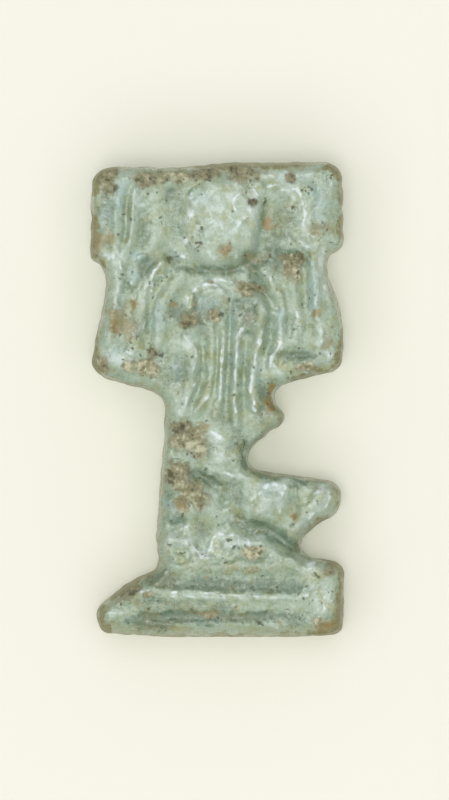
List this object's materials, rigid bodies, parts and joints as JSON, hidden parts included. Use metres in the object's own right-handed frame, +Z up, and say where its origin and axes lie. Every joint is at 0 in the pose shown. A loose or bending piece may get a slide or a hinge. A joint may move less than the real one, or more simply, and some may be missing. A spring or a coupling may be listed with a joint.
{
  "type": "shu amulet",
  "caption": "Small moulded faience amulet of a kneeling figure with raised arms that hold up a sun disc, on a plinth, with a suspension loop on its back.",
  "frame": {"origin": "centre of the plinth's flat underside, on the figure's centre line and midway through the plinth's depth", "axes": "+Z up along the standing figure, -Y out of the moulded front, +X to the right of someone who faces the front, along the loop's bore"},
  "size_m": [0.0118, 0.0066, 0.022],
  "materials": {
    "faience": "glossy worn glaze with burial crust"
  },
  "bodies": {
    "root": {"plinth": "faience", "folded_leg": "faience", "raised_thigh": "faience", "torso": "faience", "left_arm": "faience", "back_pillar": "faience", "right_arm": "faience", "sun_disc": "faience", "head": "faience", "wig_lappets": "faience", "left_hand": "faience", "left_forearm": "faience", "left_upper_arm": "faience", "right_hand": "faience", "right_forearm": "faience", "right_upper_arm": "faience", "chest": "faience", "kilt": "faience", "thigh_muscle": "faience", "kneecap": "faience", "shin": "faience", "foot": "faience", "suspension_loop": "faience"}
  },
  "joints": []
}
